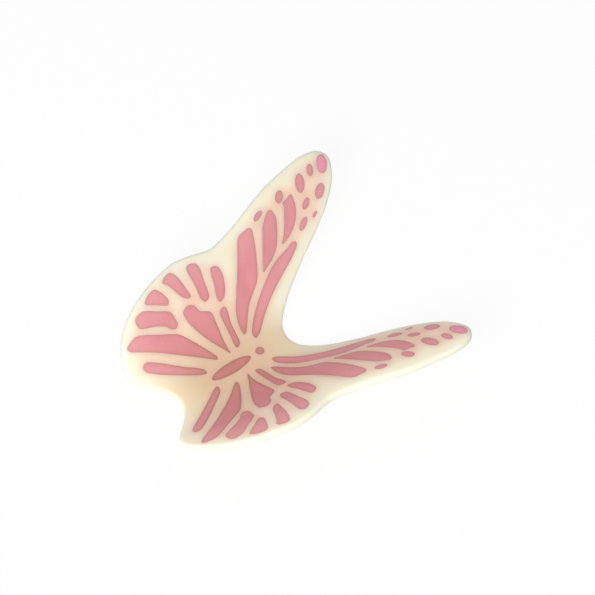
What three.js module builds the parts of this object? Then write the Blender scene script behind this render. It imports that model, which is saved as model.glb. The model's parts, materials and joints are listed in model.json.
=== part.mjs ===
// A butterfly cake decoration: a thin sheet of white chocolate, poured on a printed sheet in the
// outline of a butterfly and left to set over a bent former, so that both wings rise from the body.
// Each printed cell is a skin of pink cocoa butter that lies flush in the top of the sheet.
//
// All sizes are in millimetres. +X is the right wing's side, +Y is forward along the body, +Z is up.
// The shapes are drawn on the flat sheet, before it is bent: u runs across from the body's axis,
// v runs forward from the head dot, and w runs up from the printed top surface.

import * as THREE from "three";
import { mergeVertices } from "three/addons/utils/BufferGeometryUtils.js";

// The sheet. The rim's rounding stays under half of the thickness.
const SHEET_THICKNESS = 2.0;
const RIM_ROUNDING = 0.4;
const LARGEST_ROUNDING = 0.45 * SHEET_THICKNESS;

// The wings on the flat sheet: span is out from the body's axis, reach is along the body
const FOREWING_SPAN = 24.8;
const FOREWING_REACH = 28.2;
const HINDWING_SPAN = 20.4;
const HINDWING_REACH = 21.3;
const HEAD_NOTCH = 5.6;
const TAIL_NOTCH = 16.3;

// The bend across the sheet: a flat foot under the body, then arcs that follow one another outwards
const FOOT_HALF_WIDTH = 1.5;
const ROOT_BEND_LENGTH = 4.0;
const ROOT_BEND_TURN = 28;
const SHOULDER_BEND_LENGTH = 4.5;
const SHOULDER_BEND_TURN = 10;
const OUTER_BEND_TURN = -23;
const LARGEST_FOLD = 6;

// The pink skins
const SKIN_THICKNESS = 0.25;
const SKIN_GAP = 0.05;
const HEAD_DOT_DIAMETER = 1.45;
const BODY_MARK_START = 1.9;
const BODY_MARK_LENGTH = 7.8;
const BODY_MARK_WIDTH = 2.05;
const BODY_MARK_POINTEDNESS = 1.1;

// How finely the curves are drawn
const POINTS_PER_STRETCH = 2;
const SPOT_SIDES = 12;
const RIM_STEPS = 3;
const SAME_PLACE = 1e-4;

// A wing's outline and marks are drawn in hundredths of its span and its reach.
const FOREWING = { span: FOREWING_SPAN, reach: FOREWING_REACH };
const HINDWING = { span: HINDWING_SPAN, reach: -HINDWING_REACH };

const FOREWING_EDGE = [
  [8.9, 22.3], [22.6, 35.8], [40.7, 57.4], [57.3, 78.4], [71.8, 92.2], [81, 97.5], [89.9, 100],
  [96.8, 96.5], [100, 86.9], [98.4, 72.3], [93.1, 51.1], [84.7, 31.2], [79.4, 16], [77.4, 6.7],
];
const HINDWING_EDGE = [
  [98, 8.5], [100, 25.4], [95.6, 45.5], [87.7, 64.8], [75.5, 82.6], [60.3, 94.8], [46.1, 100],
  [33.3, 99.5], [23.5, 92], [14.2, 82.6], [5.9, 77.5],
];

const FOREWING_CELLS = {
  leading_stripe: [
    [9.5, 3], [13.5, 2.9], [19.5, 7.1], [29.2, 15.5], [37.1, 24.2], [44.8, 33.4], [48.6, 41.1],
    [50.7, 48], [52.7, 52.3], [51.5, 54.6], [49.1, 54.1], [41.9, 45.5], [34.4, 33.8], [25.6, 22.3],
    [18.6, 14.5], [11.4, 7.1],
  ],
  main_cell: [
    [15.6, -1.4], [19.8, -1.8], [29.7, 0.4], [36.9, 3.6], [50, 10.9], [62.4, 17.9], [72.5, 23.4],
    [74.8, 26.1], [75.6, 30], [76, 33.4], [74.1, 34.4], [66.6, 31.9], [53.5, 26.9], [43.4, 22.4],
    [37.5, 17.1], [31.5, 10.8], [24, 5.5], [17.2, 1],
  ],
  middle_cell: [
    [45, 27.9], [53.5, 31.7], [65.2, 37.6], [72.1, 41.4], [77.9, 47.2], [79.1, 50.3], [76.6, 51.3],
    [71.5, 50.8], [63.1, 46.8], [54.7, 41.9], [49.5, 36.1], [46.3, 30.4],
  ],
  outer_cell: [
    [54.7, 46.5], [60.2, 50.2], [68.1, 54.7], [76, 58.9], [78.4, 59.2], [79.4, 62.7], [80.8, 66.3],
    [77.3, 66.5], [71.9, 65.1], [64.7, 61.2], [59, 55.5], [55.9, 50.3],
  ],
};
const HINDWING_CELLS = {
  rim_cell_1: [
    [79.6, 0.3], [80.5, -2.5], [78.4, -5.7], [75.1, -6.4], [67.9, -5.5], [60.3, -2.5], [54.9, 0.7],
    [52.4, 6.3], [57.1, 7], [67, 4],
  ],
  rim_cell_2: [
    [88.7, 17.5], [91.7, 15.2], [91.9, 11.8], [89.6, 8.3], [85.3, 7.5], [76.3, 9.3], [64.6, 11.1],
    [60.7, 12.3], [58.9, 16.9], [62.6, 18.9], [72.6, 18.3], [82.8, 17.9],
  ],
  rim_cell_3: [
    [91.6, 38.7], [94.4, 32.1], [93.9, 29.8], [90.3, 27.7], [84.3, 26.4], [75.1, 25.6],
    [68.7, 25.5], [68.5, 28], [72, 31.8], [80.7, 34.9], [87.3, 37.7], [89.3, 39.5],
  ],
  rim_cell_4: [
    [82.5, 60.7], [85.9, 57.9], [88.5, 52.8], [88.9, 48], [84.6, 45], [78.1, 43.1], [75.1, 43],
    [72.7, 45.3], [77.4, 53.2],
  ],
  rim_cell_5: [
    [74.6, 74.6], [77.3, 71.6], [78.1, 64.9], [72.7, 55.9], [66.2, 46.3], [61.1, 45.6],
    [55.1, 45.3], [52.5, 49], [54.6, 52.5], [57.9, 55], [61.9, 61], [64.7, 68.1], [67.5, 74.3],
    [70.3, 75.3],
  ],
  root_stripe: [
    [44.1, 11], [46.9, 8.1], [47.1, 4.8], [41.7, 4.5], [33.7, 6.5], [22.4, 7.4], [14.7, 9.2],
    [12.9, 13.3], [20.8, 12.8], [30.3, 11.9], [39.1, 11.6],
  ],
  fan_cell: [
    [60.6, 37.3], [63.2, 33.3], [63.2, 30], [60.7, 26.6], [54.8, 24.4], [49.4, 17.2], [44, 16.7],
    [31.2, 18.1], [19.5, 19.4], [12.1, 20.1], [17.2, 22.8], [28.3, 28.4], [39.8, 33.4],
    [50.3, 36.9], [57.4, 37.7],
  ],
  long_tail_cell: [
    [58.9, 91], [61.6, 86.7], [63.4, 80.9], [62.3, 76.2], [55, 62.8], [46.2, 48.2], [38.3, 42.9],
    [26.5, 36.2], [15.4, 30.8], [13, 31.8], [19.2, 39.8], [32.1, 56.1], [44.6, 73.2], [52.7, 86.2],
    [55.9, 90.8],
  ],
  short_tail_cell: [
    [38.4, 87.3], [40.9, 84.3], [39.8, 80.6], [32.3, 70.4], [21.6, 57.5], [12.2, 46.4], [7.6, 45.6],
    [8.2, 49.1], [18.3, 64.4], [29.7, 81.5], [34, 86.7],
  ],
};

// Each spot is an oval: its middle, its half length and half width, and how far its length turns
// up from the span's direction, in degrees.
const FOREWING_SPOTS = {
  tip_spot: { middle: [87.8, 93.4], halfLength: 6.5, halfWidth: 3.4, turn: 24 },
  outer_spot_1: { middle: [88.2, 84.9], halfLength: 4.2, halfWidth: 2, turn: 23 },
  outer_spot_2: { middle: [84.1, 75.1], halfLength: 6.5, halfWidth: 2.8, turn: 24 },
  outer_spot_3: { middle: [83.4, 59.6], halfLength: 4.4, halfWidth: 2.3, turn: 33 },
  outer_spot_4: { middle: [79.7, 42.1], halfLength: 4, halfWidth: 1.8, turn: 60 },
  inner_spot_1: { middle: [72.6, 83.4], halfLength: 5.3, halfWidth: 2.9, turn: 43 },
  inner_spot_2: { middle: [70.1, 71.8], halfLength: 4.1, halfWidth: 2, turn: 47 },
  inner_spot_3: { middle: [60.8, 73.4], halfLength: 2.4, halfWidth: 1.1, turn: 56 },
  inner_spot_4: { middle: [59.3, 64.2], halfLength: 4.8, halfWidth: 2, turn: 49 },
};

// Finishes
const CHOCOLATE = { color: "#f6e8c9", roughness: 0.38, metalness: 0 };
const PINK = { color: "#dd8f97", roughness: 0.42, metalness: 0 };
const TIP_PINK = { color: "#e38fa9", roughness: 0.42, metalness: 0 };

// Outlines on the flat sheet, all counterclockwise as seen from above

function counterclockwise(outline) {
  return THREE.ShapeUtils.isClockWise(outline) ? [...outline].reverse() : outline;
}

function onWing(wing, [across, along]) {
  return new THREE.Vector2((wing.span * across) / 100, (wing.reach * along) / 100);
}

function smoothOutline(corners) {
  const through = corners.map((p) => new THREE.Vector3(p.x, p.y, 0));
  const curve = new THREE.CatmullRomCurve3(through, true, "centripetal");
  const points = curve.getPoints(corners.length * POINTS_PER_STRETCH).slice(0, -1);
  return counterclockwise(points.map((p) => new THREE.Vector2(p.x, p.y)));
}

function spotOutline(wing, { middle, halfLength, halfWidth, turn }) {
  const centre = new THREE.Vector2(...middle);
  const tilt = THREE.MathUtils.degToRad(turn);
  return Array.from({ length: SPOT_SIDES }, (_, i) => {
    const angle = (2 * Math.PI * i) / SPOT_SIDES;
    const rim = new THREE.Vector2(halfLength * Math.cos(angle), halfWidth * Math.sin(angle));
    const placed = rim.rotateAround(new THREE.Vector2(), tilt).add(centre);
    return onWing(wing, placed.toArray());
  });
}

function headDotOutline() {
  return Array.from({ length: SPOT_SIDES }, (_, i) => {
    const angle = (2 * Math.PI * i) / SPOT_SIDES;
    return new THREE.Vector2(Math.cos(angle), Math.sin(angle)).multiplyScalar(HEAD_DOT_DIAMETER / 2);
  });
}

// The mark down the body is an oval drawn out to a point at its front and its back.
function bodyMarkOutline() {
  const middle = -BODY_MARK_START - BODY_MARK_LENGTH / 2;
  return Array.from({ length: SPOT_SIDES }, (_, i) => {
    const angle = (2 * Math.PI * i) / SPOT_SIDES;
    const across = Math.abs(Math.sin(angle)) ** BODY_MARK_POINTEDNESS;
    return new THREE.Vector2(
      (-Math.sign(Math.sin(angle)) * across * BODY_MARK_WIDTH) / 2,
      middle + (Math.cos(angle) * BODY_MARK_LENGTH) / 2,
    );
  });
}

function mirrored(outline) {
  return outline.map((p) => new THREE.Vector2(-p.x, p.y)).reverse();
}

function sheetOutline() {
  const right = [
    ...FOREWING_EDGE.map((p) => onWing(FOREWING, p)),
    ...HINDWING_EDGE.map((p) => onWing(HINDWING, p)),
  ];
  const head = new THREE.Vector2(0, HEAD_NOTCH);
  const tail = new THREE.Vector2(0, -TAIL_NOTCH);
  return smoothOutline([head, ...right, tail, ...mirrored(right)]);
}

// Moves every side of a closed outline outwards by the same distance.
function grown(outline, distance) {
  return outline.map((here, i) => {
    const before = outline[(i + outline.length - 1) % outline.length];
    const after = outline[(i + 1) % outline.length];
    const into = here.clone().sub(before).normalize();
    const away = after.clone().sub(here).normalize();
    const normal = new THREE.Vector2(into.y + away.y, -into.x - away.x).normalize();
    const stretch = normal.x * away.y - normal.y * away.x;
    return here.clone().addScaledVector(normal, distance / stretch);
  });
}

// The bend: the sheet is made of flat strips that meet along straight folds

const outerBendLength =
  FOREWING_SPAN - FOOT_HALF_WIDTH - ROOT_BEND_LENGTH - SHOULDER_BEND_LENGTH;
const BENDS = [
  { length: ROOT_BEND_LENGTH, turn: ROOT_BEND_TURN },
  { length: SHOULDER_BEND_LENGTH, turn: SHOULDER_BEND_TURN },
  { length: outerBendLength, turn: OUTER_BEND_TURN },
];

// The right wing's strips, from the foot outwards, each with its width and its slope in radians.
function stripsOfBend() {
  const strips = [{ width: FOOT_HALF_WIDTH, slope: 0 }];
  let turned = 0;
  for (const { length, turn } of BENDS) {
    const count = Math.ceil(Math.abs(turn) / LARGEST_FOLD);
    for (let i = 0; i < count; i += 1) {
      const slope = THREE.MathUtils.degToRad(turned + (turn * (i + 0.5)) / count);
      strips.push({ width: length / count, slope });
    }
    turned += turn;
  }
  return strips;
}

// The edges of the strips: where each lies on the flat sheet and on the bent one, and which way
// the sheet's thickness runs there, which is midway between the two strips that meet.
function edgesOfStrips(strips) {
  const edges = [{ u: 0, x: 0, z: 0, lean: 0, rise: 1 }];
  strips.forEach(({ width, slope }, i) => {
    const last = edges[edges.length - 1];
    const next = i + 1 < strips.length ? strips[i + 1].slope : slope;
    const middle = (slope + next) / 2;
    const stretch = Math.cos((next - slope) / 2);
    edges.push({
      u: last.u + width,
      x: last.x + width * Math.cos(slope),
      z: last.z + width * Math.sin(slope),
      lean: -Math.sin(middle) / stretch,
      rise: Math.cos(middle) / stretch,
    });
  });
  return edges;
}

const STRIP_EDGES = edgesOfStrips(stripsOfBend());
const FOLDS = STRIP_EDGES.slice(1, -1)
  .flatMap(({ u }) => [-u, u])
  .sort((a, b) => a - b);

// Where a point of the flat sheet lies once the sheet is bent. Past the last edge the sheet runs on
// at the last strip's slope.
function bent({ x: u, y: v, z: w }) {
  const side = u < 0 ? -1 : 1;
  const out = Math.abs(u);
  const found = STRIP_EDGES.findIndex((edge, i) => i > 0 && edge.u >= out);
  const outer = found === -1 ? STRIP_EDGES.length - 1 : found;
  const a = STRIP_EDGES[outer - 1];
  const b = STRIP_EDGES[outer];
  const share = (out - a.u) / (b.u - a.u);
  const between = (from, to) => from + (to - from) * share;
  const x = between(a.x + w * a.lean, b.x + w * b.lean);
  const z = between(a.z + w * a.rise, b.z + w * b.rise);
  return new THREE.Vector3(side * x, v, z);
}

// Cutting flat shapes along the folds, so that every face lies in one strip

// Where the line between two points meets a fold: the same point whichever end comes first.
function crossing(one, other, fold) {
  const [low, high] = one.x < other.x ? [one, other] : [other, one];
  const point = low.clone().lerp(high, (fold - low.x) / (high.x - low.x));
  point.x = fold;
  return point;
}

// Puts each point that all but lies on a fold exactly on it.
function onFolds(outline) {
  return outline.map((p) => {
    const near = FOLDS.find((fold) => Math.abs(p.x - fold) < SAME_PLACE);
    return near === undefined ? p : new THREE.Vector2(near, p.y);
  });
}

// Adds to a closed outline the points where it crosses a fold.
function withCrossings(outline) {
  return outline.flatMap((here, i) => {
    const next = outline[(i + 1) % outline.length];
    const low = Math.min(here.x, next.x);
    const high = Math.max(here.x, next.x);
    const crossed = FOLDS.filter((fold) => low < fold && fold < high);
    if (here.x > next.x) crossed.reverse();
    return [here, ...crossed.map((fold) => crossing(here, next, fold))];
  });
}

// The stretches of a closed outline that lie between two folds, each a row of points. An outline
// that lies there whole is one stretch that ends where it starts.
function stretchesBetween(points, low, high) {
  const count = points.length;
  const isInside = (i) => {
    const halfway = (points[i % count].x + points[(i + 1) % count].x) / 2;
    return low < halfway && halfway < high;
  };
  const start = points.findIndex((_, i) => !isInside(i + count - 1));
  if (start === -1) return [[...points, points[0]]];
  const stretches = [];
  for (let i = start; i < start + count; i += 1) {
    if (!isInside(i)) continue;
    if (i === start || !isInside(i - 1)) stretches.push([points[i % count]]);
    stretches[stretches.length - 1].push(points[(i + 1) % count]);
  }
  return stretches;
}

// Closes the stretches between two folds into loops. Along a fold the crossings come in pairs, and
// the shape lies between the two of a pair.
function loopsBetween(outlines, low, high) {
  const stretches = outlines.flatMap((points) => stretchesBetween(points, low, high));
  const open = stretches.filter((stretch) => stretch[0] !== stretch[stretch.length - 1]);
  const following = new Map();
  for (const fold of [low, high]) {
    const ends = open
      .flatMap((stretch) => [
        { stretch, isStart: true, at: stretch[0] },
        { stretch, isStart: false, at: stretch[stretch.length - 1] },
      ])
      .filter(({ at }) => at.x === fold)
      .sort((a, b) => a.at.y - b.at.y);
    for (let i = 0; i + 1 < ends.length; i += 2) {
      const [from, to] = ends[i].isStart ? [ends[i + 1], ends[i]] : [ends[i], ends[i + 1]];
      following.set(from.stretch, to.stretch);
    }
  }
  const left = new Set(stretches);
  const loops = [];
  for (const first of stretches) {
    const loop = [];
    for (let stretch = first; left.delete(stretch); stretch = following.get(stretch)) {
      loop.push(...stretch);
    }
    if (loop.length) loops.push(loop.filter((p, i) => !p.equals(loop[(i + 1) % loop.length])));
  }
  return loops;
}

function isWithin(loop, { x, y }) {
  return loop.reduce((within, a, i) => {
    const b = loop[(i + 1) % loop.length];
    const passes = a.y > y !== b.y > y && x < a.x + ((y - a.y) * (b.x - a.x)) / (b.y - a.y);
    return passes ? !within : within;
  }, false);
}

// Fills a closed outline, less its holes, with triangles, none of which crosses a fold.
function filled(outline, holes) {
  const outlines = [outline, ...holes].map(withCrossings);
  const edges = [-Infinity, ...FOLDS, Infinity];
  return edges.slice(1).flatMap((high, i) => {
    const loops = loopsBetween(outlines, edges[i], high);
    const isHole = (loop) => THREE.ShapeUtils.isClockWise(loop);
    const inner = loops.filter(isHole);
    return loops
      .filter((loop) => !isHole(loop))
      .flatMap((loop) => {
        const within = inner.filter((hole) => isWithin(loop, hole[0]));
        const points = [loop, ...within].flat();
        const corners = THREE.ShapeUtils.triangulateShape(loop, within);
        return corners.map((triangle) => triangle.map((k) => points[k]));
      });
  });
}

// Cuts a triangle where it crosses a fold.
function cutAtFold(triangle, fold) {
  const sides = triangle.map((p) => Math.sign(p.x - fold));
  if (!sides.includes(-1) || !sides.includes(1)) return [triangle];
  const inner = [];
  const outer = [];
  triangle.forEach((here, i) => {
    const next = (i + 1) % 3;
    if (sides[i] <= 0) inner.push(here);
    if (sides[i] >= 0) outer.push(here);
    if (sides[i] * sides[next] === -1) {
      const point = crossing(here, triangle[next], fold);
      inner.push(point);
      outer.push(point);
    }
  });
  return [inner, outer].flatMap((corners) =>
    corners.slice(2).map((corner, i) => [corners[0], corners[i + 1], corner]),
  );
}

// Faces on the flat sheet. An outline that runs counterclockwise has its solid inside it, and one
// that runs clockwise has it outside, as round a pocket.

function raised({ x, y }, height) {
  return new THREE.Vector3(x, y, height);
}

function faceUp(outline, holes, height) {
  return filled(outline, holes).map((corners) => corners.map((p) => raised(p, height)));
}

function faceDown(outline, height) {
  return faceUp(outline, [], height).map((corners) => corners.reverse());
}

// The wall between two outlines with the same number of points, the second above the first.
function wall(lower, lowerHeight, upper, upperHeight) {
  return lower.flatMap((_, here) => {
    const next = (here + 1) % lower.length;
    const a = raised(lower[here], lowerHeight);
    const b = raised(lower[next], lowerHeight);
    const c = raised(upper[next], upperHeight);
    const d = raised(upper[here], upperHeight);
    const cut = (pieces, fold) => pieces.flatMap((piece) => cutAtFold(piece, fold));
    return FOLDS.reduce(cut, [[a, b, c], [a, c, d]]);
  });
}

// Bends the faces of a flat solid with the sheet and joins them where they meet.
function bentGeometry(triangles) {
  const loose = new THREE.BufferGeometry().setFromPoints(triangles.flat().map(bent));
  return mergeVertices(loose, SAME_PLACE);
}

// The hollow that a skin lies in, with the same gap at its sides and under it.
function pocket(skinOutline) {
  const rim = onFolds(grown(skinOutline, SKIN_GAP));
  return { rim, hole: [...rim].reverse(), floor: -SKIN_THICKNESS - SKIN_GAP };
}

// The sheet, with its rim rounded by quarter circles above and below and a pocket for each skin.
function sheetGeometry(skinOutlines) {
  const outline = sheetOutline();
  const rounding = Math.min(RIM_ROUNDING, LARGEST_ROUNDING);
  const quarter = Array.from({ length: RIM_STEPS + 1 }, (_, i) => {
    const angle = (Math.PI / 2) * (i / RIM_STEPS);
    return {
      ring: onFolds(grown(outline, rounding * (Math.sin(angle) - 1))),
      drop: rounding * (1 - Math.cos(angle)),
    };
  });
  const rings = [
    ...quarter.map(({ ring, drop }) => ({ ring, height: drop - SHEET_THICKNESS })),
    ...quarter.map(({ ring, drop }) => ({ ring, height: -drop })).reverse(),
  ];
  const pockets = skinOutlines.map(pocket);
  const holes = pockets.map(({ hole }) => hole);
  return bentGeometry([
    ...faceDown(rings[0].ring, -SHEET_THICKNESS),
    ...rings.slice(1).flatMap((upper, i) =>
      wall(rings[i].ring, rings[i].height, upper.ring, upper.height),
    ),
    ...faceUp(rings[rings.length - 1].ring, holes, 0),
    ...pockets.flatMap(({ rim, hole, floor }) => [
      ...wall(hole, floor, hole, 0),
      ...faceUp(rim, [], floor),
    ]),
  ]);
}

function skinGeometry(skinOutline) {
  const outline = onFolds(skinOutline);
  return bentGeometry([
    ...faceDown(outline, -SKIN_THICKNESS),
    ...wall(outline, -SKIN_THICKNESS, outline, 0),
    ...faceUp(outline, [], 0),
  ]);
}

function meshOf(name, geometry, finish) {
  const material = new THREE.MeshStandardMaterial({ ...finish, flatShading: true });
  const mesh = new THREE.Mesh(geometry, material);
  mesh.name = name;
  return mesh;
}

// The skins of one wing pair, drawn on the right and mirrored to the left.
function wingSkins() {
  const drawn = [
    ...Object.entries(FOREWING_CELLS).map(([name, cell]) => ({
      name: `forewing_${name}`,
      outline: smoothOutline(cell.map((p) => onWing(FOREWING, p))),
      finish: PINK,
    })),
    ...Object.entries(FOREWING_SPOTS).map(([name, spot]) => ({
      name: `forewing_${name}`,
      outline: spotOutline(FOREWING, spot),
      finish: name === "tip_spot" ? TIP_PINK : PINK,
    })),
    ...Object.entries(HINDWING_CELLS).map(([name, cell]) => ({
      name: `hindwing_${name}`,
      outline: smoothOutline(cell.map((p) => onWing(HINDWING, p))),
      finish: PINK,
    })),
  ];
  return drawn.flatMap(({ name, outline, finish }) => [
    { name: `right_${name}`, outline, finish },
    { name: `left_${name}`, outline: mirrored(outline), finish },
  ]);
}

function bodySkins() {
  return [
    { name: "head_dot", outline: headDotOutline(), finish: PINK },
    { name: "body_mark", outline: bodyMarkOutline(), finish: PINK },
  ];
}

// The assembly: the origin is under the middle of the object, on the surface that it stands on

const skins = [...bodySkins(), ...wingSkins()];
const sheet = sheetGeometry(skins.map(({ outline }) => outline));

const butterfly = new THREE.Group();
butterfly.add(meshOf("chocolate_sheet", sheet, CHOCOLATE));
for (const { name, outline, finish } of skins) {
  butterfly.add(meshOf(name, skinGeometry(outline), finish));
}

const alongBody = sheetOutline().map((p) => p.y);
const middle = (Math.max(...alongBody) + Math.min(...alongBody)) / 2;
butterfly.position.set(0, -middle, SHEET_THICKNESS);

const decoration = new THREE.Group();
decoration.add(butterfly);

export default decoration;
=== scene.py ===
"""A white-chocolate butterfly for the top of a cake, with a pink printed wing pattern.

Each piece starts as a slice of its solid in the frame, laid flat. It is given a smooth outline,
modelled on the flat, and then bent to the butterfly's form. On the flat, u runs across from the
body's axis, v runs forward as Y does, and w runs up from the printed face. Sizes are in metres.
"""

import json
import math

import bpy
import numpy as np
from mathutils import Matrix, Vector


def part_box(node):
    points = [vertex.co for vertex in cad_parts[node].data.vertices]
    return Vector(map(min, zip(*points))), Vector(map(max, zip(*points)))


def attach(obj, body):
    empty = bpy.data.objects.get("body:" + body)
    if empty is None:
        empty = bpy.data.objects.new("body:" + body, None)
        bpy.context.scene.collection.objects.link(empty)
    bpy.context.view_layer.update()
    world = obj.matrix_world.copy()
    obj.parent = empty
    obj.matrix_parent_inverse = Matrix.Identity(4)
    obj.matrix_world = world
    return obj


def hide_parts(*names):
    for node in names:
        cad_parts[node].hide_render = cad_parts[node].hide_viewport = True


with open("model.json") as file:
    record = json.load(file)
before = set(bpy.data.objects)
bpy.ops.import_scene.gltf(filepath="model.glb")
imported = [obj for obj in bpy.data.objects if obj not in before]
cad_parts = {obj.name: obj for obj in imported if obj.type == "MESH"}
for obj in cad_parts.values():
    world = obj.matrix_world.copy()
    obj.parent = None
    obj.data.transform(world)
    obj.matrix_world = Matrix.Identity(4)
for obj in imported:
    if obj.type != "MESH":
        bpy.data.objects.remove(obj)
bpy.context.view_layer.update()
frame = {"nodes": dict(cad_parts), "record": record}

MM = 0.001

# The bend across the butterfly: a flat foot under the body, then arcs that follow one another
# outwards, each with its length and the angle that it turns up by.
THICKNESS = 2.0 * MM
FOOT_HALF_WIDTH = 1.5 * MM
ARCS = [
    (4.0 * MM, math.radians(28)),
    (4.5 * MM, math.radians(10)),
    (14.8 * MM, math.radians(-23)),
]

# The sheet
TOP_ROUNDING = 0.55 * MM
UNDERSIDE_ROUNDING = 0.9 * MM
ROUNDING_STEPS = 5
SHEET_CUTS = 0.35 * MM
PALE_AND_LIT_RIM_WIDTH = 3.0 * MM
OUTER_WIDTH = 6.0 * MM
BLEED_WIDTH = 2.6 * MM

# How far the print face falls towards the rim, and from where
RIM_FALL = 0.45 * MM
RIM_FALL_WIDTH = 4.5 * MM

# The part round the body, which is given painted shade where the wings rise from it, and the crease
# between forewing and hindwing, which is sunk and given painted shade, by their places on the right
# half laid flat
BODY_MIDDLE = (0.0, -9 * MM)
BODY_REACH = (11 * MM, 16 * MM)
CREASE_START = (4 * MM, -0.5 * MM)
CREASE_END = (18 * MM, 2.4 * MM)
CREASE_WIDTH = 2.2 * MM
CREASE_DEPTH = 0.15 * MM

# The printed marks
PRINT_DEPTH = 0.05 * MM
PRINT_RISE = 0.03 * MM
PRINT_ROUNDING = 0.03 * MM
PRINT_ROUNDING_STEPS = 2
PRINT_EDGE_WIDTH = 0.5 * MM
PRINT_RING = 0.12 * MM
RING_POINTS_APART = 0.08 * MM
PRINT_CUTS = 0.5 * MM

# The chocolate's colours, and how strongly each of them shows
IVORIES = ("#F6E8CF", "#FCF1DD")
IVORY_PATCHES = 9 * MM
# Painted shade: tan round the body, in the trough where the wings rise, and in the crease
SHADE_TAN = "#E1C9A3"
SHADE_ROUND_BODY = 1.5
SHADE_IN_CREASE = 0.8
PINK_STAIN = "#F7CDB8"
# Painted shade: the pink bleed turns darker round the body
SHADED_STAIN = "#E9C2AB"
STAIN_SHADE_ROUND_BODY = 1.2
STAIN = 0.95
STAIN_LOST_AT_RIM = 0.4
STAIN_LOST_FAR_OUT = 0.3
# The rim is pale where the chocolate thins, and brighter still with painted light for the glare on
# it and the light on its walls; the painted light is taken away near the body, where the notch lies
# in shade
PALE_AND_LIT_RIM = "#FBF5E6"
PALE_AND_LIGHT_AT_RIM = 0.55
RIM_LIGHT_LOST_AT_BODY = 1.6
RIM_STEEPNESS = 1.4

# The cocoa butter's colours: its mottle's two, and a lighter one near the rim, which is painted
# light where the wing flattens out towards the lamp
PINKS = ("#DC868B", "#E59B9E", "#F2ACB0")
TIP_PINKS = ("#EE8CA6", "#F6A1B5", "#F9A6BB")
MOTTLE_PATCHES = 4 * MM
# Painted shade on the print round the body
SHADED_PINK = "#C87A73"
PRINT_SHADE_ROUND_BODY = 0.8
LIGHT_ON_PRINT_AT_RIM = 0.6
EDGE_LINE = "#AD7B66"
LINE_ANYWHERE = 0.34
# The edge line is the print's own; the extra line round the body is painted shade
LINE_SHADE_ROUND_BODY = 0.9

# What both feel like: patches of gloss, slow waves and fine grain
COCOA_BUTTER_IOR = 1.46
CHOCOLATE_GLOSS = {"patches": 2.5 * MM, "least": 0.3, "spread": 0.14, "grain": 0.35 * MM}
PRINT_GLOSS = {"patches": 1.5 * MM, "least": 0.34, "spread": 0.15, "grain": 0.25 * MM}
WAVE_SIZE = 5 * MM
WAVE_DEPTH = 0.1 * MM
GRAIN_DEPTH = 0.004 * MM

# How finely an outline is drawn, and what counts as the same place, as no length and as flat
OUTLINE_STEPS = 5
STRAIGHT_WITHIN = math.radians(1.5)
SAME_PLACE = 0.03 * MM
ON_THE_CUT = 1e-4 * MM
NO_LENGTH_SQUARED = 1e-18
LIES_FLAT = 0.9
FLATTENING_ROUNDS = 40

# The camera, as the photograph has it: a long lens that looks down on the right rear quarter
PHOTO_SIDE = 595
PHOTO_PIXELS_PER_MM = 6.0
HEAD_DOT_PIXEL = (259.8, 350.7)
TOWARDS_CAMERA = Vector((0.3929, -0.3091, 0.8661))
PHOTO_UP = Vector((-0.712, 0.4938, 0.4993))
CAMERA_DISTANCE = 1.5
NEAREST_SEEN = 0.01
SENSOR_WIDTH = 36 * MM

# The studio: a large soft lamp behind the butterfly on its right, and a dimmer white room
KEY_LAMP_PLACE = (0.22, -0.35, 0.4)
KEY_LAMP_SIZE = 0.3
KEY_LAMP_POWER = 2.62
ROOM_LIGHT = 0.41
FLOOR_SIDE = 6.0
FLOOR_GLOW = 0.93
CARD = {"Base Color": (0.9, 0.9, 0.9, 1), "Roughness": 0.9}


# Flat and bent


def along_bend(out):
    """How far out and up a point lies on the bent printed face, and the slope there in radians."""
    run = np.minimum(out, FOOT_HALF_WIDTH)
    across = run.copy()
    up = np.zeros_like(out)
    slope = np.zeros_like(out)
    start = FOOT_HALF_WIDTH
    angle = 0.0
    for length, turn in ARCS:
        radius = length / turn
        run = np.clip(out - start, 0, length)
        across += radius * (np.sin(angle + run / radius) - math.sin(angle))
        up += radius * (math.cos(angle) - np.cos(angle + run / radius))
        slope += run / radius
        start += length
        angle += turn
    rest = np.maximum(out - start, 0)
    across += rest * math.cos(angle)
    up += rest * math.sin(angle)
    return across, up, slope


def bent(points):
    """Points of the flat sheet, as rows of u, v and w, where they lie once it is bent."""
    u, v, w = points.T
    across, up, slope = along_bend(np.abs(u))
    x = np.copysign(across - w * np.sin(slope), u)
    z = THICKNESS + up + w * np.cos(slope)
    return np.stack([x, v, z], axis=1)


def flattened(points):
    """Points of the bent sheet on the flat: the reverse of bent()."""
    x, y, z = points.T
    out = np.abs(x)
    for _ in range(FLATTENING_ROUNDS):
        across, up, slope = along_bend(out)
        over_x = np.abs(x) - across
        over_z = z - THICKNESS - up
        out = out + over_x * np.cos(slope) + over_z * np.sin(slope)
    across, up, slope = along_bend(out)
    w = (z - THICKNESS - up) * np.cos(slope) - (np.abs(x) - across) * np.sin(slope)
    return np.stack([np.copysign(out, x), y, w], axis=1)


def vertices_of(piece):
    points = np.zeros(len(piece.data.vertices) * 3)
    piece.data.vertices.foreach_get("co", points)
    return points.reshape(-1, 3)


def put_vertices(piece, points):
    piece.data.vertices.foreach_set("co", points.ravel())
    piece.data.update()


# Modelling


def take_up(piece):
    """Selects one piece alone, so that operators act on it."""
    bpy.ops.object.select_all(action="DESELECT")
    piece.select_set(True)
    bpy.context.view_layer.objects.active = piece


def start_edit():
    bpy.ops.object.mode_set(mode="EDIT")
    bpy.ops.mesh.select_all(action="SELECT")


def end_edit():
    bpy.ops.object.mode_set(mode="OBJECT")


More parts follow.
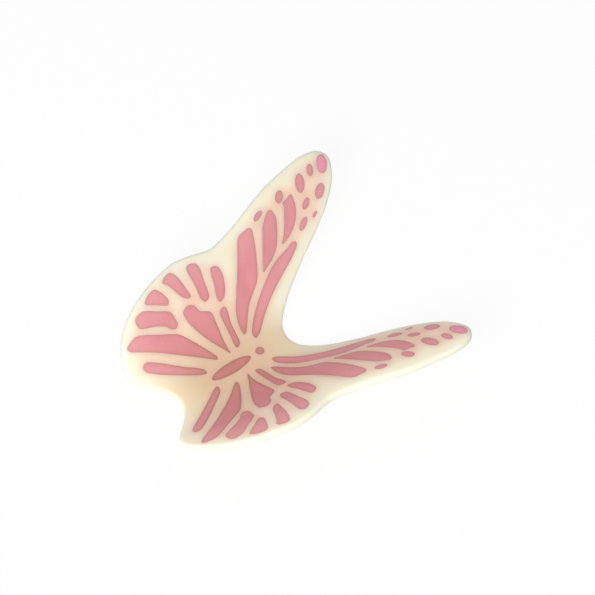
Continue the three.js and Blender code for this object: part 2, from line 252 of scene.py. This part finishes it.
def select_faces(piece, is_wanted):
    """In edit mode, selects the faces that a test of their middle and normal picks."""
    end_edit()
    for thing in (*piece.data.vertices, *piece.data.edges):
        thing.select = False
    for face in piece.data.polygons:
        face.select = is_wanted(face.center, face.normal)
    bpy.ops.object.mode_set(mode="EDIT")
    bpy.ops.mesh.select_mode(type="FACE")


def sliced(place, normal, **kept):
    """In edit mode, cuts the whole piece along a plane."""
    bpy.ops.mesh.select_all(action="SELECT")
    bpy.ops.mesh.bisect(plane_co=place, plane_no=normal, threshold=ON_THE_CUT, **kept)


def flat_face(node, height):
    """A flat face with the outline that a CAD node has at one height of the flat sheet, smoothed."""
    piece = bpy.data.objects.new(node + "_piece", frame["nodes"][node].data.copy())
    bpy.context.collection.objects.link(piece)
    piece.data.materials.clear()
    put_vertices(piece, flattened(vertices_of(piece)))
    take_up(piece)
    start_edit()
    bpy.ops.mesh.remove_doubles(threshold=ON_THE_CUT)
    sliced((0, 0, height), (0, 0, 1), clear_inner=True, clear_outer=True)
    bpy.ops.mesh.select_all(action="SELECT")
    bpy.ops.mesh.remove_doubles(threshold=SAME_PLACE)
    bpy.ops.mesh.dissolve_limited(angle_limit=STRAIGHT_WITHIN)
    end_edit()
    bpy.ops.object.convert(target="CURVE")
    bpy.ops.object.mode_set(mode="EDIT")
    bpy.ops.curve.select_all(action="SELECT")
    bpy.ops.curve.spline_type_set(type="BEZIER")
    bpy.ops.curve.handle_type_set(type="AUTOMATIC")
    end_edit()
    piece.data.resolution_u = OUTLINE_STEPS
    bpy.ops.object.convert(target="MESH")
    start_edit()
    bpy.ops.mesh.edge_face_add()
    bpy.ops.mesh.normals_make_consistent(inside=False)
    end_edit()
    return piece


def rounded_in(radius, steps):
    """In edit mode, ends the selected flat face in a quarter circle."""
    angles = [math.pi / 2 * i / steps for i in range(steps + 1)]
    for low, high in zip(angles, angles[1:]):
        bpy.ops.mesh.inset(
            thickness=radius * (math.cos(low) - math.cos(high)),
            depth=radius * (math.sin(high) - math.sin(low)),
        )


def slab(piece, low, high, low_rounding, high_rounding, steps):
    """Gives a flat face its thickness between two heights, with rounded edges. Ends in edit mode."""
    flat = vertices_of(piece)
    flat[:, 2] = low + low_rounding
    put_vertices(piece, flat)
    wall = high - high_rounding - low - low_rounding
    take_up(piece)
    start_edit()
    bpy.ops.mesh.extrude_region_move(TRANSFORM_OT_translate={"value": (0, 0, wall)})
    bpy.ops.mesh.select_all(action="SELECT")
    bpy.ops.mesh.normals_make_consistent(inside=False)
    if low_rounding:
        select_faces(piece, lambda middle, normal: normal.z < -LIES_FLAT)
        rounded_in(low_rounding, steps)
    select_faces(piece, lambda middle, normal: normal.z > LIES_FLAT)
    rounded_in(high_rounding, steps)


def cut_up(axis, step, reach):
    """In edit mode, cuts a piece across at even steps out to its reach, so that it can bend."""
    normal = [0, 0, 0]
    normal[axis] = 1
    count = math.ceil(reach / step)
    for i in range(-count, count):
        place = [0, 0, 0]
        place[axis] = (i + 0.5) * step
        sliced(place, normal)


def distance_from(outline, points):
    """How far each point lies from the nearest side of a closed outline, on the flat."""
    nearest = np.full(len(points), np.inf)
    for here, after in zip(outline, np.roll(outline, -1, axis=0)):
        side = after - here
        share = np.clip((points - here) @ side / max(side @ side, NO_LENGTH_SQUARED), 0, 1)
        gap = np.linalg.norm(points - here - share[:, None] * side, axis=1)
        nearest = np.minimum(nearest, gap)
    return nearest


def is_within(outline, points):
    """Which points lie inside a closed outline, on the flat."""
    inside = np.zeros(len(points), bool)
    x, y = points.T
    for (x0, y0), (x1, y1) in zip(outline, np.roll(outline, -1, axis=0)):
        passed = (y0 > y) != (y1 > y)
        if y0 != y1:
            passed &= x < x0 + (y - y0) * (x1 - x0) / (y1 - y0)
            inside ^= passed
    return inside


def near(distance, width):
    """1 where a distance is none, down to 0 at the given width and past it."""
    return np.clip(1 - distance / width, 0, 1)


def in_crease(flat):
    """How far each point lies in the crease between forewing and hindwing, from 0 to 1."""
    start = np.array(CREASE_START)
    way = np.array(CREASE_END) - start
    on_right = np.abs(flat[:, :1]) * (1, 0) + flat * (0, 1)
    share = np.clip((on_right - start) @ way / (way @ way), 0, 1)
    gap = np.linalg.norm(on_right - start - share[:, None] * way, axis=1)
    return near(gap, CREASE_WIDTH) ** 2 * np.sin(math.pi * share)


def paint(piece, name, values):
    """Keeps a value for each vertex under a name that the materials read."""
    piece.data.attributes.new(name, "FLOAT", "POINT").data.foreach_set("value", values)


def finished(piece, rim_line, node, material):
    """Gives a flat piece its fall and its bend, and lets it stand for its node."""
    points = vertices_of(piece)
    flat = points[:, :2]
    from_rim = distance_from(rim_line, flat)
    crease = in_crease(flat)
    from_body = np.linalg.norm((flat - BODY_MIDDLE) / BODY_REACH, axis=1)
    on_top = near(-points[:, 2], TOP_ROUNDING)
    # These masks place painted shade round the body and in the crease, and painted light on the rim
    # and on the prints near it
    paint(piece, "body", near(from_body, 1) * on_top)
    paint(piece, "crease", crease * on_top)
    paint(piece, "rim", near(from_rim, PALE_AND_LIT_RIM_WIDTH))
    paint(piece, "outer", near(from_rim, OUTER_WIDTH))
    fall = RIM_FALL * near(from_rim, RIM_FALL_WIDTH) ** 2 + CREASE_DEPTH * crease
    points[:, 2] -= fall * near(-points[:, 2], THICKNESS)
    put_vertices(piece, bent(points))
    piece.data.materials.append(material)
    take_up(piece)
    bpy.ops.object.shade_smooth()
    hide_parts(node)
    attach(piece, "root")


def outline_of(piece):
    """The points round a piece that is still one flat face, as rows of u and v."""
    points = vertices_of(piece)[:, :2]
    return points[list(piece.data.polygons[0].vertices)]


def poured_sheet(piece, rim_line, prints, material):
    """The chocolate itself: its print face is rounded a little at the rim, its underside more."""
    slab(piece, -THICKNESS, 0, UNDERSIDE_ROUNDING, TOP_ROUNDING, ROUNDING_STEPS)
    across, along = np.abs(rim_line).max(axis=0)
    cut_up(0, SHEET_CUTS, across)
    cut_up(1, SHEET_CUTS, along)
    end_edit()
    points = vertices_of(piece)
    flat = points[:, :2]
    bleed = np.zeros(len(flat))
    for mark in prints:
        low = mark.min(axis=0) - BLEED_WIDTH
        high = mark.max(axis=0) + BLEED_WIDTH
        around = np.all((flat > low) & (flat < high), axis=1)
        gap = distance_from(mark, flat[around])
        gap[is_within(mark, flat[around])] = 0
        bleed[around] += near(gap, BLEED_WIDTH) ** 2
    on_top = near(-points[:, 2], TOP_ROUNDING)
    paint(piece, "bleed", np.clip(bleed - STAIN_LOST_FAR_OUT, 0, 1) * on_top)
    finished(piece, rim_line, "chocolate_sheet", material)


def printed_mark(node, rim_line, material):
    """One skin of cocoa butter, just proud of the sheet with a soft edge. Gives its outline."""
    depth = flattened(vertices_of(frame["nodes"][node]))[:, 2].min()
    piece = flat_face(node, depth / 2)
    outline = outline_of(piece)
    slab(piece, -PRINT_DEPTH, PRINT_RISE, 0, PRINT_ROUNDING, PRINT_ROUNDING_STEPS)
    # The darker line fades inwards from a ring. Its near points are merged, because they would
    # cross in a narrow tip.
    bpy.ops.mesh.inset(thickness=PRINT_RING)
    bpy.ops.mesh.remove_doubles(threshold=RING_POINTS_APART)
    across, along = np.abs(outline).max(axis=0)
    cut_up(0, PRINT_CUTS, across)
    cut_up(1, PRINT_CUTS, along)
    end_edit()
    flat = vertices_of(piece)[:, :2]
    paint(piece, "edge", near(distance_from(outline, flat), PRINT_EDGE_WIDTH))
    finished(piece, rim_line, node, material)
    return outline


# Finishes


def colour(code):
    """A colour written as a web code, as the shader's own red, green, blue and alpha."""
    parts = [int(code[i : i + 2], 16) / 255 for i in (1, 3, 5)]
    linear = [p / 12.92 if p <= 0.04045 else ((p + 0.055) / 1.055) ** 2.4 for p in parts]
    return (*linear, 1)


class Field:
    """A value that varies over a surface. Sums and products of fields add Math nodes."""

    def __init__(self, nodes, socket):
        self.nodes = nodes
        self.socket = socket

    def worked_out(self, operation, first, second):
        settings = {"operation": operation}
        return self.nodes.add("ShaderNodeMath", settings, {0: first, 1: second})

    def __add__(self, other):
        return self.worked_out("ADD", self, other)

    def __sub__(self, other):
        return self.worked_out("SUBTRACT", self, other)

    def __rsub__(self, other):
        return self.worked_out("SUBTRACT", other, self)

    def __mul__(self, other):
        return self.worked_out("MULTIPLY", self, other)

    def __pow__(self, other):
        return self.worked_out("POWER", self, other)

    __radd__ = __add__
    __rmul__ = __mul__


class Nodes:
    """A tree of nodes, which are added one at a time."""

    def __init__(self, tree):
        self.tree = tree

    def add(self, kind, settings, inputs, output=0):
        """Adds a node: its settings first, then the values or fields of its sockets."""
        node = self.tree.nodes.new(kind)
        for name, value in settings.items():
            setattr(node, name, value)
        for socket, value in inputs.items():
            if isinstance(value, Field):
                self.tree.links.new(value.socket, node.inputs[socket])
            else:
                node.inputs[socket].default_value = value
        return Field(self, node.outputs[output])

    def seen(self):
        """1 for what the camera sees, straight on, in a gloss or through glass, and 0 for light."""
        straight = self.add("ShaderNodeLightPath", {}, {}, "Is Camera Ray")
        glossy = self.add("ShaderNodeLightPath", {}, {}, "Is Glossy Ray")
        through = self.add("ShaderNodeLightPath", {}, {}, "Is Transmission Ray")
        return straight + glossy + through


class Finish(Nodes):
    """A material, with its nodes added one at a time."""

    def __init__(self, name, constants):
        self.material = bpy.data.materials.new(name)
        self.material.use_nodes = True
        super().__init__(self.material.node_tree)
        self.shader = self.tree.nodes["Principled BSDF"]
        for socket, value in constants.items():
            self.shader.inputs[socket].default_value = value

    def place(self):
        return self.add("ShaderNodeTexCoord", {}, {}, "Object")

    def attribute(self, name):
        return self.add("ShaderNodeAttribute", {"attribute_name": name}, {}, "Fac")

    def noise(self, size, detail=2.0, roughness=0.5):
        """Even noise from 0 to 1, whose lumps are about the given size across."""
        inputs = {"Vector": self.place(), "Scale": 1 / size}
        inputs.update({"Detail": detail, "Roughness": roughness})
        return self.add("ShaderNodeTexNoise", {}, inputs, "Fac")

    def blend(self, share, first, second):
        """A colour between two others."""
        settings = {"data_type": "RGBA", "clamp_factor": True}
        return self.add("ShaderNodeMix", settings, {0: share, 6: first, 7: second}, 2)

    def bump(self, height, depth, under=None):
        inputs = {"Height": height, "Distance": depth, "Strength": 1.0}
        if under:
            inputs["Normal"] = under
        return self.add("ShaderNodeBump", {}, inputs, "Normal")

    def feed(self, socket, field):
        self.tree.links.new(field.socket, self.shader.inputs[socket])

    def surface(self, patches, least, spread, grain):
        """Gives the finish patches of gloss, slow waves and fine grain."""
        self.feed("Roughness", self.noise(patches) * spread + least)
        waves = self.bump(self.noise(WAVE_SIZE, detail=1.0), WAVE_DEPTH)
        self.feed("Normal", self.bump(self.noise(grain, detail=3.0), GRAIN_DEPTH, waves))


def white_chocolate():
    """Ivory chocolate: painted shade round the body and in the crease, a rim that is pale where it
    thins and brighter with painted light, and pink round the print.
    """
    constants = {
        "Subsurface Weight": 0.85,
        "Subsurface Radius": (1.0, 0.75, 0.5),
        "Subsurface Scale": 1.5 * MM,
        "IOR": COCOA_BUTTER_IOR,
    }
    finish = Finish("white_chocolate", constants)
    body = finish.attribute("body")
    # Painted shade: tan round the body and in the crease
    painted_shade_share = body * SHADE_ROUND_BODY + finish.attribute("crease") * SHADE_IN_CREASE
    stain_share = finish.attribute("bleed") * (STAIN - finish.attribute("outer") * STAIN_LOST_AT_RIM)
    # The pale rim, partly the chocolate thinning and partly painted light, is taken away near the
    # body, where the notch lies in shade
    rim_light_share = finish.attribute("rim") ** RIM_STEEPNESS * (PALE_AND_LIGHT_AT_RIM - body * RIM_LIGHT_LOST_AT_BODY)
    ivory = finish.blend(finish.noise(IVORY_PATCHES), *map(colour, IVORIES))
    shaded_ivory = finish.blend(painted_shade_share, ivory, colour(SHADE_TAN))
    # Painted shade: the pink bleed darker round the body
    stain_and_shade = finish.blend(body * STAIN_SHADE_ROUND_BODY, colour(PINK_STAIN), colour(SHADED_STAIN))
    stained = finish.blend(stain_share, shaded_ivory, stain_and_shade)
    finish.feed("Base Color", finish.blend(rim_light_share, stained, colour(PALE_AND_LIT_RIM)))
    finish.surface(**CHOCOLATE_GLOSS)
    return finish.material


def printed_cocoa_butter(name, deep, plain, lit_pink):
    """A coloured print, with painted shade near the body, painted light near the rim, and a darker
    line at its edge that is the print's own, with more of it near the body as painted shade.
    """
    constants = {
        "Subsurface Weight": 0.12,
        "Subsurface Radius": (1.0, 0.5, 0.4),
        "Subsurface Scale": 0.5 * MM,
        "IOR": COCOA_BUTTER_IOR,
    }
    finish = Finish(name, constants)
    body = finish.attribute("body")
    mottle = finish.noise(MOTTLE_PATCHES, detail=3.0, roughness=0.6)
    mottled = finish.blend(mottle, colour(deep), colour(plain))
    # Painted shade: the print darker and browner round the body
    shaded_print = finish.blend(body * PRINT_SHADE_ROUND_BODY, mottled, colour(SHADED_PINK))
    # Painted light: the print lighter near the rim
    lit_near_rim = finish.blend(finish.attribute("outer") * LIGHT_ON_PRINT_AT_RIM, shaded_print, colour(lit_pink))
    # More of the edge line round the body is painted shade
    line_share = finish.attribute("edge") * (body * LINE_SHADE_ROUND_BODY + LINE_ANYWHERE)
    finish.feed("Base Color", finish.blend(line_share, lit_near_rim, colour(EDGE_LINE)))
    finish.surface(**PRINT_GLOSS)
    return finish.material


# Studio


def photo_camera():
    """Looks from far off, so that the head dot falls on its pixel of the photograph."""
    low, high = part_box("head_dot")
    head = Vector(((low.x + high.x) / 2, (low.y + high.y) / 2, high.z))
    towards = TOWARDS_CAMERA.normalized()
    right = PHOTO_UP.cross(towards).normalized()
    up = towards.cross(right)
    metres_per_pixel = MM / PHOTO_PIXELS_PER_MM
    over = (PHOTO_SIDE / 2 - HEAD_DOT_PIXEL[0]) * metres_per_pixel
    above = (HEAD_DOT_PIXEL[1] - PHOTO_SIDE / 2) * metres_per_pixel
    aim = head + right * over + up * above
    data = bpy.data.cameras.new("photo_camera")
    data.sensor_width = SENSOR_WIDTH / MM
    data.lens = data.sensor_width * CAMERA_DISTANCE / (PHOTO_SIDE * metres_per_pixel)
    data.clip_start = NEAREST_SEEN
    camera = bpy.data.objects.new("photo_camera", data)
    turn = Matrix((right, up, towards)).transposed().to_4x4()
    camera.matrix_world = Matrix.Translation(aim + towards * CAMERA_DISTANCE) @ turn
    bpy.context.scene.collection.objects.link(camera)
    bpy.context.scene.camera = camera


def soft_lamp(name, place, size, power):
    bpy.ops.object.light_add(type="AREA", location=place)
    lamp = bpy.context.object
    lamp.name = name
    lamp.data.shape = "DISK"
    lamp.data.size = size
    lamp.data.energy = power
    lamp.rotation_euler = Vector(place).to_track_quat("Z", "Y").to_euler()


def white_world():
    """Shows white behind the butterfly, and lights it more dimly from all round."""
    world = bpy.data.worlds.new("white_room")
    world.use_nodes = True
    bpy.context.scene.world = world
    nodes = Nodes(world.node_tree)
    white = {"Color": (1, 1, 1, 1)}
    room = nodes.add("ShaderNodeBackground", {}, {**white, "Strength": ROOM_LIGHT})
    backdrop = nodes.add("ShaderNodeBackground", {}, {**white, "Strength": 1.0})
    mixed = {0: nodes.seen(), 1: room, 2: backdrop}
    surface = nodes.add("ShaderNodeMixShader", {}, mixed)
    output = nodes.tree.nodes["World Output"]
    nodes.tree.links.new(surface.socket, output.inputs["Surface"])


def white_floor():
    """A white card, which keeps a faint shadow of the butterfly."""
    bpy.ops.mesh.primitive_plane_add(size=FLOOR_SIDE)
    floor = bpy.context.object
    floor.name = "floor"
    card = Finish("white_card", CARD)
    lit = Field(card, card.shader.outputs["BSDF"])
    glow = card.add("ShaderNodeEmission", {}, {"Strength": 1.0})
    mixed = {0: card.seen() * FLOOR_GLOW, 1: lit, 2: glow}
    surface = card.add("ShaderNodeMixShader", {}, mixed)
    output = card.tree.nodes["Material Output"]
    card.tree.links.new(surface.socket, output.inputs["Surface"])
    floor.data.materials.append(card.material)


bpy.context.scene.view_settings.view_transform = "Standard"
photo_camera()
white_world()
white_floor()
soft_lamp("key_lamp", KEY_LAMP_PLACE, KEY_LAMP_SIZE, KEY_LAMP_POWER)

PRINTS = {
    "pink_cocoa_butter": printed_cocoa_butter("pink_print", *PINKS),
    "tip_pink_cocoa_butter": printed_cocoa_butter("tip_pink_print", *TIP_PINKS),
}
sheet = flat_face("chocolate_sheet", -THICKNESS / 2)
rim_line = outline_of(sheet)
prints = []
for part in frame["record"]["subparts"]:
    slot = part["material_slot"]
    if slot in PRINTS:
        prints.append(printed_mark(part["node"], rim_line, PRINTS[slot]))
poured_sheet(sheet, rim_line, prints, white_chocolate())
